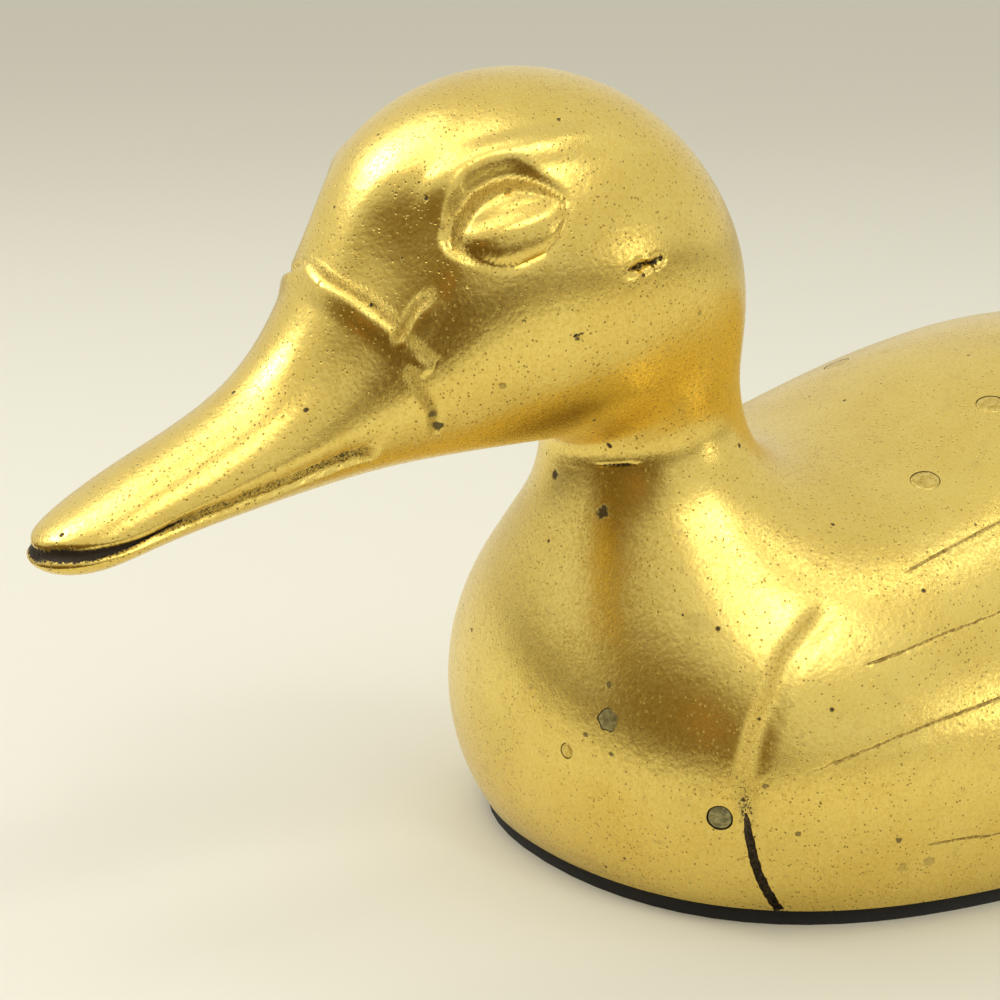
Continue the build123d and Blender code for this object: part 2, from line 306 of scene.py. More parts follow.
def new_group(name, **inputs):
    """Node group that puts out a mask, with what it is given by name and its output node"""
    group = bpy.data.node_groups.new(name, "ShaderNodeTree")
    for socket, kind in inputs.items():
        group.interface.new_socket(socket, in_out="INPUT", socket_type="NodeSocket" + kind)
    group.interface.new_socket("Mask", in_out="OUTPUT", socket_type="NodeSocketFloat")
    return group, group.nodes.new("NodeGroupInput").outputs, group.nodes.new("NodeGroupOutput")


def maths(operation, *operands, clamp=False):
    """Output of a maths node, whose operands are sockets or numbers"""
    tree = next(operand.id_data for operand in operands if not isinstance(operand, (int, float)))
    node = add_node(tree, "ShaderNodeMath", operation=operation, use_clamp=clamp)
    for index, operand in enumerate(operands):
        if isinstance(operand, (int, float)):
            node.inputs[index].default_value = operand
        else:
            link(operand, node, index)
    return node.outputs[0]


def times(first, second):
    """Product of a socket and a socket or number"""
    return maths("MULTIPLY", first, second)


def plus(first, second, share):
    """Sum of a first socket or number and a share of a second socket"""
    return maths("MULTIPLY_ADD", second, share, first)


def spread(value, low, high, start=0.0, end=1.0):
    """Value eased from one range to another"""
    node = add_node(value.id_data, "ShaderNodeMapRange", interpolation_type="SMOOTHSTEP")
    link(value, node, "Value")
    for name, number in (("From Min", low), ("From Max", high), ("To Min", start), ("To Max", end)):
        node.inputs[name].default_value = number
    return node.outputs["Result"]


def blend(share, first, second):
    """Colour part way between two, each a socket or a colour"""
    node = add_node(share.id_data, "ShaderNodeMix", data_type="RGBA")
    link(share, node, "Factor")
    colour_inputs = [socket for socket in node.inputs if socket.type == "RGBA"]
    for socket, colour in zip(colour_inputs, (first, second)):
        if isinstance(colour, tuple):
            socket.default_value = colour
        else:
            node.id_data.links.new(colour, socket)
    return next(socket for socket in node.outputs if socket.type == "RGBA")


def cloud(place, size, detail=3.0, roughness=0.6, distortion=0.0):
    """Smooth chance value from 0 to 1, with lumps of a size in millimetres"""
    node = add_node(place.id_data, "ShaderNodeTexNoise", Scale=1 / size, Detail=detail,
                    Roughness=roughness, Distortion=distortion)
    link(place, node, "Vector")
    return node.outputs[0]


# Pin holes: round holes of chance size, one at most in each cell, and only in some cells
pin_holes, given, mask = new_group(
    "pin holes", Place="Vector", Density="Float", Share="Float", Radius="Float"
)
cells = add_node(pin_holes, "ShaderNodeTexVoronoi", Randomness=1.0)
link(given["Place"], cells, "Vector")
link(given["Density"], cells, "Scale")
chance = add_node(pin_holes, "ShaderNodeSeparateColor")
link(cells.outputs["Color"], chance, "Color")
present = maths("LESS_THAN", chance.outputs[0], given["Share"])
hole_radius = times(given["Radius"], plus(0.35, chance.outputs[1], 0.8))
depth_share = maths("SUBTRACT", 1.0, maths("DIVIDE", cells.outputs["Distance"], hole_radius), clamp=True)
link(times(present, spread(depth_share, 0.0, 0.5)), mask, "Mask")

# Stains: soft uneven patches with a broken edge
stains, given, mask = new_group("stains", Place="Vector", Density="Float", Share="Float")
clouds = add_node(stains, "ShaderNodeTexNoise", Detail=6.0, Roughness=0.62, Distortion=0.6)
link(given["Place"], clouds, "Vector")
link(given["Density"], clouds, "Scale")
over = maths("SUBTRACT", clouds.outputs[0], plus(0.78, given["Share"], -0.5))
link(spread(over, 0.0, 0.12), mask, "Mask")

# A flaw: one dark pit with a broken edge, at its own place in millimetres
flaw, given, mask = new_group("flaw", Place="Vector", Centre="Vector", Radius="Float")
off_centre = add_node(flaw, "ShaderNodeVectorMath", operation="DISTANCE")
link(given["Place"], off_centre, 0)
link(given["Centre"], off_centre, 1)
radii_out = maths("DIVIDE", off_centre.outputs["Value"], given["Radius"])
broken_edge = maths("SUBTRACT", cloud(given["Place"], 0.7), 0.5)
link(spread(plus(radii_out, broken_edge, 1.8), 0.7, 1.15, 1.0, 0.0), mask, "Mask")


def use_group(group, place, **values):
    """Output of a node group placed with its own values"""
    node = place.id_data.nodes.new("ShaderNodeGroup")
    node.node_tree = group
    link(place, node, "Place")
    for name, value in values.items():
        if isinstance(value, (int, float, tuple)):
            node.inputs[name].default_value = value
        else:
            link(value, node, name)
    return node.outputs[0]


def new_material(name, **finish_values):
    """Material with its finish shader, some of whose values are set, and places in millimetres"""
    material = bpy.data.materials.new(name)
    material.use_nodes = True
    tree = material.node_tree
    finish = next(node for node in tree.nodes if node.type == "BSDF_PRINCIPLED")
    for socket, value in finish_values.items():
        finish.inputs[socket.replace("_", " ")].default_value = value
    to_millimetres = add_node(tree, "ShaderNodeVectorMath", operation="SCALE", Scale=1000)
    link(add_node(tree, "ShaderNodeTexCoord").outputs["Object"], to_millimetres, 0)
    return material, finish, to_millimetres.outputs[0]


def dent(height, finish, strength, distance):
    """Gives a finish small dents and rises from a height"""
    bump = add_node(height.id_data, "ShaderNodeBump", Strength=strength, Distance=distance)
    link(height, bump, "Height")
    link(bump.outputs["Normal"], finish, "Normal")


def cast_brass(name, pin_hole_share, stain_share, flaws=()):
    """Polished cast brass, dark at its own flaws, and darkened with painted shade and soot where the mesh
    marks a crease
    """
    material, finish, place = new_material(name)
    crease, rough_cast = [
        add_node(material.node_tree, "ShaderNodeAttribute", attribute_name=layer).outputs["Fac"]
        for layer in ("soot", "rough_cast")
    ]

    # Holes and pits
    swarm = cloud(place, swarm_size)
    crowded = plus(times(spread(swarm, 0.35, 0.65, 0.5, 1.5), pin_hole_share), rough_cast, 0.4)
    fine_holes = use_group(pin_holes, place, Density=1 / pin_hole_step, Share=crowded, Radius=0.30)
    large_holes = use_group(pin_holes, place, Density=1 / speck_step, Share=times(crowded, 0.4), Radius=0.12)
    for x, y, z, radius, darkness in flaws:
        pit = use_group(flaw, place, Centre=(neck_x * 1000 + x, y, z), Radius=radius)
        large_holes = maths("MAXIMUM", large_holes, times(pit, darkness))

    # Colour: two tones of brass, then tarnish, then pits, then painted shade with soot in creases and holes
    patches = use_group(stains, place, Density=1 / stain_size, Share=stain_share)
    small_patches = use_group(stains, place, Density=4 / stain_size, Share=stain_share * 0.9)
    tarnish = maths("MAXIMUM", times(patches, 0.25), times(small_patches, 0.45))
    grain = cloud(place, grain_size, 4.0, 0.7)
    deep = maths("ADD", spread(swarm, 0.3, 0.7, 0.0, 0.3), spread(grain, 0.4, 0.7, 0.0, 0.45))
    dulled = blend(tarnish, blend(deep, brass_colour, deep_brass_colour), tarnish_colour)
    pitted = blend(times(fine_holes, 0.75), dulled, pit_colour)
    speckle = maths("SUBTRACT", cloud(place, speckle_size, 4.0, 0.7), 0.5)
    # Creases, large holes and flaws are painted dark towards soot black: painted shade in them, together
    # with soot and dirt
    broken_crease = spread(plus(crease, speckle, 2.4), 0.5, 0.85)
    crease_darkening = times(broken_crease, spread(crease, 0.0, 0.15))
    shade_and_dirt = maths("MAXIMUM", crease_darkening, times(large_holes, 0.92), clamp=True)
    link(blend(shade_and_dirt, pitted, soot_colour), finish, "Base Color")
    link(plus(1.0, shade_and_dirt, -0.7), finish, "Metallic")

    # Finish and fine relief
    duller = plus(spread(grain, 0.3, 0.7, 0.2, 0.32), tarnish, 0.2)
    link(maths("MULTIPLY_ADD", shade_and_dirt, 0.4, duller, clamp=True), finish, "Roughness")
    rises = plus(times(cloud(place, wave_size, 2.0), 0.06), grain, 0.03)
    holes = plus(times(fine_holes, 0.05), large_holes, 0.35)
    sand = times(cloud(place, sand_size, 5.0, 0.75), rough_cast)
    dent(plus(maths("SUBTRACT", rises, holes), sand, 0.45), finish, 1.0, 0.001)
    return material


def worn_crease(name, dark, light, metallic, roughness):
    """Uneven tarnish or old polish that lies in a cut line; made near black, it is painted shade as well"""
    material, finish, place = new_material(name, Metallic=metallic)
    crust = cloud(place, crust_size, 5.0, 0.7)
    link(blend(spread(crust, 0.35, 0.68), dark, light), finish, "Base Color")
    link(spread(crust, 0.3, 0.7, roughness, roughness * 0.7), finish, "Roughness")
    dent(crust, finish, 0.7, 0.0002)
    return material


# Flaws stand at x behind the neck's axis, y and z, with a radius in millimetres and a darkness
body_flaws = [
    (-11.6, 1.3, 59.6, 0.75, 1.0), (-10.5, -9.2, 56.2, 1.0, 1.0), (-15.6, -18.6, 33.9, 0.5, 0.8),
    (-17.7, -16.0, 26.1, 0.45, 0.8), (-16.4, -20.6, 24.4, 0.4, 0.8), (-3.8, -39.4, 23.3, 0.45, 0.6),
    (0.3, -41.9, 16.1, 0.4, 0.7), (14.1, -47.3, 14.1, 0.4, 0.8), (15.6, -46.8, 9.5, 0.8, 0.25),
    (19.6, -47.9, 9.9, 0.9, 0.3),
]
head_flaws = [
    (-9.8, -9.5, 66.0, 0.4, 1.0), (-2.1, -16.2, 62.5, 0.4, 0.7), (-3.8, -15.3, 62.1, 0.35, 0.7),
    (-26.0, -24.5, 85.3, 0.35, 0.8), (-34.8, -20.1, 79.1, 0.5, 0.4), (-5.6, -24.1, 86.8, 0.4, 0.4),
    (-29.3, -21.6, 100.5, 0.3, 0.5), (-42.6, -15.4, 75.2, 0.6, 0.8), (-41.6, -14.9, 73.4, 0.8, 0.9),
    (-42.8, -14.6, 72.2, 0.6, 0.8), (-43.6, -13.9, 70.6, 0.7, 0.8),
]
body_brass = cast_brass("body brass", 0.7, 0.38, body_flaws)
head_brass = cast_brass("head brass", 0.7, 0.34, head_flaws)
# The near-black crevice colour is painted shade in the slit and the bores, together with soot
crevice = worn_crease("crevice soot", (0.02, 0.013, 0.006, 1), (0.12, 0.08, 0.03, 1), 0.3, 0.8)
engraved = worn_crease("engraved line", (0.26, 0.17, 0.04, 1), (0.72, 0.52, 0.14, 1), 0.95, 0.5)


# The body is a hollow casting, open at the neck and under the foot. The lines of its folded
# wings are chased into its flanks, and a rebate inside the foot's rim takes the base board.
felt_thickness = 0.0025
board_thickness = 0.003
rim_width = 0.002
front_rows = 140
foot_rows = 18
middle_rows = 80
tail_rows = 46
upper_columns = 60
lower_columns = 66
ragged_size = 0.0009
join_gap = 1e-6

# Lines on the left flank, as x and z shares of the body
wing_shares = [
    (0.055, 0.631), (0.024, 0.577), (0.003, 0.533), (-0.013, 0.466), (-0.024, 0.413), (-0.031, 0.345),
    (-0.032, 0.285), (-0.028, 0.216), (-0.019, 0.145), (-0.006, 0.085), (0.009, 0.035),
]
feather_shares = [
    [(0.123, 0.652), (0.161, 0.677), (0.192, 0.697), (0.223, 0.717), (0.30, 0.76), (0.40, 0.80),
     (0.50, 0.82), (0.62, 0.82), (0.74, 0.80), (0.84, 0.78)],
    [(0.055, 0.515), (0.090, 0.533), (0.135, 0.557), (0.183, 0.579), (0.26, 0.62), (0.36, 0.665),
     (0.48, 0.70), (0.60, 0.715), (0.72, 0.725), (0.83, 0.735)],
    [(0.010, 0.340), (0.050, 0.374), (0.099, 0.406), (0.162, 0.435), (0.25, 0.475), (0.36, 0.53),
     (0.48, 0.58), (0.60, 0.62), (0.72, 0.66), (0.81, 0.69)],
    [(0.095, 0.170), (0.137, 0.172), (0.164, 0.169), (0.25, 0.205), (0.36, 0.28), (0.48, 0.36),
     (0.58, 0.43), (0.68, 0.51), (0.76, 0.59)],
]


def girth_shares(upper_count, lower_count):
    """Places round half a section, from the back down to the breast"""
    upper = np.linspace(0, 0.5, upper_count, endpoint=False)
    return np.concatenate([upper, np.linspace(0.5, 1, lower_count + 1)])


def even_stations(start, end, count):
    """Stations from a start to an end that lie evenly along the form's back and side"""
    fine = np.linspace(start, end, 600)
    travelled = sum(travel(skin(fine, share)) for share in (0, 0.45))
    return np.interp(np.linspace(0, travelled[-1], count), travelled, fine)


def crossing(shares, heights):
    """Share at which heights that start over nought first fall below it"""
    below = np.argmax(heights < 0)
    high, low = heights[below - 1], heights[below]
    return shares[below - 1] + (shares[below] - shares[below - 1]) * high / (high - low)


throat, nape = at_neck(-0.426, -0.115), at_neck(0.603, 0.019)
joint_centre = (throat + nape) / 2
joint_up = np.cross(nape - throat, [0, 1, 0])
joint_up /= np.linalg.norm(joint_up)


def over_joint(points):
    """Heights of points over the plane of the neck joint"""
    return (points - joint_centre) @ joint_up


def joint_stations(around, rise):
    """Stations where the lines of the skin cross a plane that lies over the neck joint by the rise"""
    fine = np.linspace(stations[last_head_rung], stations[first_body_rung], 600)
    heights = over_joint(skin(fine[:, None], around[None, :])) - rise
    return np.array([crossing(fine, column) for column in heights.T])


def rows_to_joint(row_stations, joint, start):
    """Stations of all points, in rows that lean from a start on until the row at the joint lies on it"""
    level = joint.mean()
    lean = np.clip((row_stations - start) / (level - start), 0, 1)
    return row_stations[:, None] + (joint - level)[None, :] * lean[:, None]


def outward_of(grid):
    """Outward directions all over half a skin"""
    outward = np.cross(np.gradient(grid, axis=0), np.gradient(grid, axis=1))
    outward[np.abs(grid[..., 1]) < join_gap, 1] = 0
    outward /= np.maximum(np.linalg.norm(outward, axis=2, keepdims=True), join_gap**2)
    return outward * np.sign((outward * (grid - grid.mean(axis=1, keepdims=True))).sum())


def both_sides(half, mirror=1):
    """Left half of a skin's values followed by the right half's, from breast to breast over the back"""
    return np.concatenate([half[:, ::-1], half[:, 1:] * mirror], axis=1)


across = np.array([1, -1, 1])


def whole_skin(half, *values):
    """Points of a whole skin, the outward directions there, and the values of each point"""
    outward = both_sides(outward_of(half), across)
    values = [both_sides(value.reshape(half.shape[:2])) for value in values]
    return both_sides(half, across), outward, *values


def hammered(points, sizes, seed):
    """Unevenness of a hand-worked skin, about from 0 to 1, with wide and narrow lumps of these sizes"""
    wide, narrow = [uneven(points.reshape(-1, 3), size, seed + index) for index, size in enumerate(sizes)]
    return (0.5 + 0.35 * wide + 0.15 * narrow).reshape(points.shape[:2])


def faces_between(mesh, loop, after):
    """Adds the faces between two closed loops of as many points"""
    for index in range(len(loop)):
        beside = (index + 1) % len(loop)
        mesh.faces.new((loop[index], loop[beside], after[beside], after[index]))


def sheet_of(grid, **values):
    """Mesh of a whole skin with its named values, joined where its two edges meet at the breast"""
    mesh = bmesh.new()
    for name in values:
        mesh.verts.layers.float.new(name)
    points = [mesh.verts.new(place) for place in grid.reshape(-1, 3)]
    for name, numbers in values.items():
        layer = mesh.verts.layers.float[name]
        for point, number in zip(points, numbers.ravel()):
            point[layer] = number
    for face in grid_faces(grid):
        mesh.faces.new([points[corner] for corner in face])
    edge_points = [point for point in points if point.is_boundary]
    bmesh.ops.remove_doubles(mesh, verts=edge_points, dist=join_gap)
    return mesh


def open_loops(mesh):
    """Points in order round each opening of a mesh, from the same start in each run"""
    left = dict.fromkeys(edge for edge in mesh.edges if edge.is_boundary)
    loops = []
    while left:
        edge, _ = left.popitem()
        loop = [edge.verts[0], edge.verts[1]]
        while loop[-1] is not loop[0]:
            edge = next(other for other in loop[-1].link_edges if other in left)
            del left[edge]
            loop.append(edge.other_vert(loop[-1]))
        loops.append(loop[:-1])
    return [loop for loop in loops if len(loop) > 2]


def next_loop(mesh, loop, inset, upward, rise):
    """Loop drawn in by the inset across the upward direction and raised along it, with faces between"""
    upward = Vector(upward)
    centre = sum((point.co for point in loop), Vector()) / len(loop)
    fresh = []
    for index, point in enumerate(loop):
        inward = (loop[(index + 4) % len(loop)].co - loop[index - 4].co).cross(upward).normalized()
        if inward.dot(centre - point.co) < 0:
            inward.negate()
        fresh.append(mesh.verts.new(point.co + inward * inset + upward * rise))
    faces_between(mesh, loop, fresh)
    return fresh


def object_of(mesh, name, material):
    """Object in the scene, made from a closed mesh and its material"""
    bmesh.ops.recalc_face_normals(mesh, faces=mesh.faces)
    data = bpy.data.meshes.new(name)
    mesh.to_mesh(data)
    mesh.free()
    data.materials.append(material)
    made = bpy.data.objects.new(name, data)
    bpy.context.collection.objects.link(made)
    return made


def as_piece(mesh, name, material, node):
    """Finished piece from a closed mesh, with its material, that stands for a CAD node"""
    piece = object_of(mesh, name, material)
    piece.data.shade_smooth()
    piece.data.set_sharp_from_angle(angle=math.radians(50))
    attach(piece, "root")
    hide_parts(node)
    return piece


def bar(mesh, rings):
    """Adds a closed bar through rings of points"""
    for ring, after in zip(rings[:-1], rings[1:]):
        faces_between(mesh, ring, after)
    mesh.faces.new(rings[0])
    mesh.faces.new(rings[-1])


def ragged_bar(mesh, line, outs, radii, depths, sides, ragged):
    """Adds a closed uneven bar along a line on the skin, whose far side lies at each depth under it"""
    rings = []
    for place, outward, run, radius, depth in zip(line, outs, np.gradient(line, axis=0), radii, depths):
        aside = np.cross(outward, run / np.linalg.norm(run))
        centre = place + outward * (radius - depth)
        ring = []
        for turn in np.arange(sides) * math.tau / sides:
            spoke = (outward * math.sin(turn) + aside * math.cos(turn)) * radius
            lump = 1 + ragged * noise.noise(Vector(centre + spoke) / ragged_size)
            ring.append(mesh.verts.new(centre + spoke * lump))
        rings.append(ring)
    bar(mesh, rings)


def with_mirror(mesh):
    """Adds the mirror image of everything in a mesh"""
    twins = bmesh.ops.duplicate(mesh, geom=mesh.faces[:] + mesh.edges[:] + mesh.verts[:])["geom"]
    for point in twins:
        if isinstance(point, bmesh.types.BMVert):
            point.co.y = -point.co.y


def cut(piece, cutter, material):
    """Cuts a closed mesh out of a piece and gives the cut its own material"""
    tool = object_of(cutter, "cutter", material)
    step = piece.modifiers.new("cut", "BOOLEAN")
    step.object, step.solver, step.material_mode = tool, "MANIFOLD", "TRANSFER"
    shaped = bpy.data.meshes.new_from_object(piece.evaluated_get(bpy.context.evaluated_depsgraph_get()))
    piece.modifiers.clear()
    piece.data = shaped
    shaped.set_sharp_from_angle(angle=math.radians(50))
    bpy.data.objects.remove(tool)


around = girth_shares(upper_columns, lower_columns)
fine_stations = np.linspace(stations[first_body_rung], 0.99, 4000)
under_foot = fine_stations[skin(fine_stations, 1.0)[..., 2] < felt_thickness]
foot_start, foot_end = under_foot[0], under_foot[-1]
joint = joint_stations(around, 0.0)
foot_end_share = 0.03
crowding = foot_end_share * np.linspace(0, 1, foot_rows + 1)[1:] ** 2
toe, heel = foot_start + crowding, (foot_end - crowding)[::-1]
row_stations = np.concatenate([
    even_stations(joint.mean(), foot_start, front_rows),
    toe,
    even_stations(toe[-1], heel[0], middle_rows)[1:-1],
    heel,
    even_stations(foot_end, 1.0, tail_rows),
])
lean_end_share = 0.012
along = rows_to_joint(row_stations, joint, foot_start - lean_end_share)

# Where a row crosses the foot, it ends at the edge of the foot
ends = np.ones(len(row_stations))
fine_around = np.linspace(0.5, 1, 800)
for row, station in enumerate(row_stations):
    heights = skin(station, fine_around)[:, 2] - felt_thickness
    if foot_start < station < foot_end and heights[0] >= 0 > heights.min():
        ends[row] = crossing(fine_around, heights)
body_half = skin(along, around[None, :] * ends[:, None])
body_half[:, 0, 1] = 0
points = body_half.reshape(-1, 3)

# Along the front of each wing a shallow channel runs down, steep before and shallow behind
channel_depth = 0.00045
channel_front = (-0.0013, -0.0006)
channel_back = (-0.0003, 0.0034)
channel_lead = 0.0009
channel_reach = 0.006
channel_grain = 0.0015
rough_width = 0.0022
soot_width = 0.0018
gap, share, aside = from_line(points, *laid_line(at_body, wing_shares, on_flank, step=0.0012))
channel = ease(share, 0, 0.10) * (1 - ease(share, 0.6, 0.85)) * (gap < channel_reach)
shifted = aside - channel_lead * (1 - ease(share, 0.3, 0.6))
profile = ease(shifted, *channel_front) * (1 - ease(shifted, *channel_back))
relief = -channel_depth * channel * profile * (1 + 0.3 * uneven(points, channel_grain, 3))
rough_cast = 0.6 * channel * swell(gap, rough_width)
# The lower channel is painted dark where it closes into the slit: painted shade together with soot
soot = 0.9 * ease(share, 0.45, 0.7) * swell(gap, soot_width)

# Each feather line lies in a faint dent
dent_depth = 0.00010
dent_width = 0.0014
dent_offset = 0.0006
dent_reach = 0.004
feather_lines = [laid_line(at_body, shares, on_flank, step=0.0008) for shares in feather_shares]
for line, outs in feather_lines:
    gap, share, aside = from_line(points, line[::3], outs[::3])
    dent_share = swell(np.abs(aside + dent_offset), dent_width) * ease(share, 0, 0.1)
    relief -= dent_depth * dent_share * (gap < dent_reach)

# Hand work left the whole skin uneven, but for the part next to the joint
hammer_depth = 0.00014
hammer_sizes = (0.022, 0.007)
joint_fade = 0.015
body_skin, body_out, relief, rough_cast, soot = whole_skin(body_half, relief, rough_cast, soot)
worked = ease(-over_joint(body_skin), 0, joint_fade)
relief -= hammer_depth * worked * hammered(body_skin, hammer_sizes, seed=1)
body_mesh = sheet_of(body_skin + body_out * relief[..., None], soot=soot, rough_cast=rough_cast)
for loop in open_loops(body_mesh):
    if max(point.co.z for point in loop) < 2 * felt_thickness:
        foot_loop = loop
    else:
        body_mesh.faces.new(loop)
rim = next_loop(body_mesh, foot_loop, rim_width, (0, 0, 1), 0)
for point in foot_loop + rim:
    point.co.z = felt_thickness
foot_outline = [(point.co.x, point.co.y) for point in foot_loop]
foot_centre = np.mean(foot_outline, axis=0)
body_mesh.faces.new(next_loop(body_mesh, rim, 0, (0, 0, 1), board_thickness))
body = as_piece(body_mesh, "cast_body", body_brass, "body_casting")

# Lower down the channel closes into a deep ragged slit, and feather lines are engraved behind it
slit_radius = (0.0003, 0.0006)
slit_depth = (0.0001, 0.0014)
feather_radius = 0.00034
feather_depth = 0.00022
slit_line, slit_outs = laid_line(at_body, wing_shares[5:], on_flank, step=0.0005)
climb = ease(np.linspace(0, 1, len(slit_line)), 0, 0.8)
slit_mesh = bmesh.new()
radii, depths = [least + more * climb for least, more in (slit_radius, slit_depth)]
ragged_bar(slit_mesh, slit_line, slit_outs, radii, depths, sides=10, ragged=0.25)
with_mirror(slit_mesh)
# The slit's walls take the near-black crevice colour: painted shade together with soot
cut(body, slit_mesh, crevice)
feather_mesh = bmesh.new()
for line, outs in feather_lines:
    way = np.linspace(0, 1, len(line))
    taper = np.minimum(ease(way, 0, 0.02), 1 - ease(way, 0.9, 1))
    radii, depths = feather_radius * (0.6 + 0.4 * taper), feather_depth * (0.3 + 0.7 * taper)
    ragged_bar(feather_mesh, line, outs, radii, depths, sides=8, ragged=0.3)
with_mirror(feather_mesh)
cut(body, feather_mesh, engraved)


# The braze closes the neck joint: a narrow band of filler of the castings' own colour, filed
# flush with the skin all round, in which only hair cracks and a few pin holes are left.
braze_width = 0.0014
braze_depth = 0.0013
crack_depth = 0.00004
crack_width = 0.0003
crack_wander = 0.0004
crack_size = 0.006
wander_size = 0.004
ring_rows = 7
ring_around = girth_shares(120, 120)
ring_low, ring_high = [joint_stations(ring_around, rise) for rise in (0.0, braze_width)]
climb = np.linspace(0, 1, ring_rows)[:, None]
ring_skin, ring_out = whole_skin(skin(ring_high * (1 - climb) + ring_low * climb, ring_around))
points = ring_skin.reshape(-1, 3)
off_crack = over_joint(points) - braze_width / 2 + crack_wander * uneven(points, wander_size, 9)
crack = 0.7 * ease(uneven(points, crack_size, 6), 0.12, 0.4) * swell(np.abs(off_crack), crack_width)
crack = crack.reshape(ring_skin.shape[:2])
relief = -crack_depth * crack
relief[[0, -1]] = 0
ring_outer = ring_skin + ring_out * relief[..., None]
ring_inner = ring_skin[[0, -1]] - ring_out[[0, -1]] * braze_depth
# The cracks are painted dark: painted shade in them together with soot
crack_rows = np.concatenate([0.5 * crack, np.zeros((3, crack.shape[1]))])
ring_grid = np.concatenate([ring_outer, ring_inner[::-1], ring_outer[:1]])
ring_mesh = sheet_of(ring_grid, soot=crack_rows, rough_cast=crack_rows * 0.4)
bmesh.ops.remove_doubles(ring_mesh, verts=ring_mesh.verts, dist=join_gap)
as_piece(ring_mesh, "neck_braze", cast_brass("braze", 0.5, 0.36), "neck_braze_ring")


# The head is a second hollow casting, bill and all. Its eyes, brows, bill edge and mouth were
# carved in the pattern, and left rough where a polishing wheel can't reach.
head_rows = 330
head_columns = 70
grit_size = 0.0011
coarse_size = 0.003

# Places on the head's left flank, as x and z shares of the head
eye_share = (-0.516, 0.648)
lore_share = (-0.700, 0.585)
brow_shares = [
    (-0.652, 0.644), (-0.617, 0.736), (-0.550, 0.799), (-0.474, 0.826), (-0.362, 0.843), (-0.258, 0.847),
]
# Places along the mouth, as x and z shares of the bill, after its start at the tip
bill_tip_share = (1.0, -0.13)
mouth_shares = [
    (0.945, -0.114), (0.813, -0.107), (0.640, -0.089), (0.451, -0.052), (0.265, -0.027),
    (0.070, 0.002), (-0.133, 0.034), (-0.305, 0.060), (-0.419, 0.060),
]
# Places on the face, as shares of half the head's width and of its height over the chin
bill_edge_shares = [(0.000, 0.516), (0.162, 0.490), (0.335, 0.460), (0.477, 0.412), (0.565, 0.356)]
face_edge_shares = [(0.565, 0.356), (0.592, 0.395), (0.615, 0.431), (0.640, 0.450), (0.669, 0.466)]
gape_shares = [(0.600, 0.300), (0.615, 0.276), (0.623, 0.197), (0.590, 0.150), (0.540, 0.110)]


def at_face(y_share, z_share):
    """Place seen from the front, to the left of the mirror plane"""
    return at_head(0, z_share) - [0, head_width / 2 * y_share, 0]


around = girth_shares(head_columns, head_columns)
joint = joint_stations(around, braze_width)
row_stations = even_stations(0.0, joint.mean(), head_rows)
head_half = skin(rows_to_joint(row_stations, joint, 0.75 * joint.mean()), around)
head_half[:, 0, 1] = 0
points = head_half.reshape(-1, 3)
grit = uneven(points, grit_size, 11)
coarse = uneven(points, coarse_size, 12)

# Eye: a ball with pointed corners, in a pocket that is deep and rough above it and in front,
# and runs out behind. The pocket's floor and wall are widest over the upper lid.
eye_half_length = 0.0076
eye_half_height = 0.0048
eye_tilt = math.radians(9)
eye_reach = 0.02
ball_rise = 0.0015
lid_rise = 0.0005
above_span = (-0.0008, 0.0024)
front_span, front_height_span = (0.0045, 0.0075), (-0.005, 0.002)
nape_span, narrowing_span = (0.002, 0.0085), (0.003, 0.009)
floor_least, floor_above, floor_before = 0.0002, 0.0016, 0.0006
wall_least, wall_above, wall_before = 0.0005, 0.0026, 0.0008
pocket_least, pocket_more = 0.0003, 0.0010
pocket_grit = 0.00025
pocket_waver = 0.00012
lid_edge = 0.0002
crease_depth = 0.0002
crease_width = 0.0004
eye_centre, eye_outward = on_flank(at_head(*eye_share))
eye_long = np.array([math.cos(eye_tilt), 0, math.sin(eye_tilt)])
eye_long -= eye_outward * (eye_long @ eye_outward)
eye_long /= np.linalg.norm(eye_long)
eye_up = np.cross(eye_long, eye_outward)
eye_up *= np.sign(eye_up[2])
level = (points - eye_centre) @ eye_long
height = (points - eye_centre) @ eye_up
near_eye = np.linalg.norm(points - eye_centre, axis=1) < eye_reach

# Each lid is an arc, and the ball stands highest where a point is well inside both
lid_radius = (eye_half_length**2 + eye_half_height**2) / (2 * eye_half_height)
lid_offset = lid_radius - eye_half_height
from_lid = np.hypot(level, np.abs(height) + lid_offset) - lid_radius
in_upper, in_lower = [
    np.clip(lid_radius**2 - level**2 - (height + offset) ** 2, 0, None)
    for offset in (lid_offset, -lid_offset)
]
ball = (in_upper * in_lower / (lid_radius**2 - lid_offset**2) ** 2) ** 0.42
above_eye = ease(height, *above_span)
toward_bill = ease(-level, *front_span) * ease(height, *front_height_span)
toward_nape = ease(level, *nape_span)
over_lid = above_eye * (1 - 0.75 * ease(-level, *narrowing_span))
deep_share = np.maximum(above_eye, toward_bill)
floor_width = floor_least + (floor_above * over_lid + floor_before * toward_bill) * (1 - 0.8 * toward_nape)
wall_width = wall_least + (wall_above * over_lid + wall_before * toward_bill) * (1 - 0.6 * toward_nape)
outside = ease(from_lid + pocket_waver * coarse, floor_width, floor_width + wall_width)
lid_step = above_eye * (1 - ease(from_lid, 0, floor_width)) * (from_lid > 0)
pocket = near_eye * deep_share * ease(from_lid, -lid_edge, lid_edge)
pocket = pocket * (1 - ease(from_lid, 0.9 * floor_width, 1.2 * floor_width))
crease = near_eye * swell(np.abs(from_lid), crease_width) * (0.3 + 0.5 * deep_share)
relief = near_eye * (ball_rise * ball + lid_rise * lid_step)
relief -= near_eye * (pocket_least + pocket_more * deep_share) * (1 - 0.7 * toward_nape) * (1 - outside)
relief += pocket_grit * pocket * grit - crease_depth * crease
rough_cast = pocket
# The crease round the eye is painted dark: painted shade together with soot
soot = 0.5 * crease * ease(grit + coarse, -0.3, 0.5)

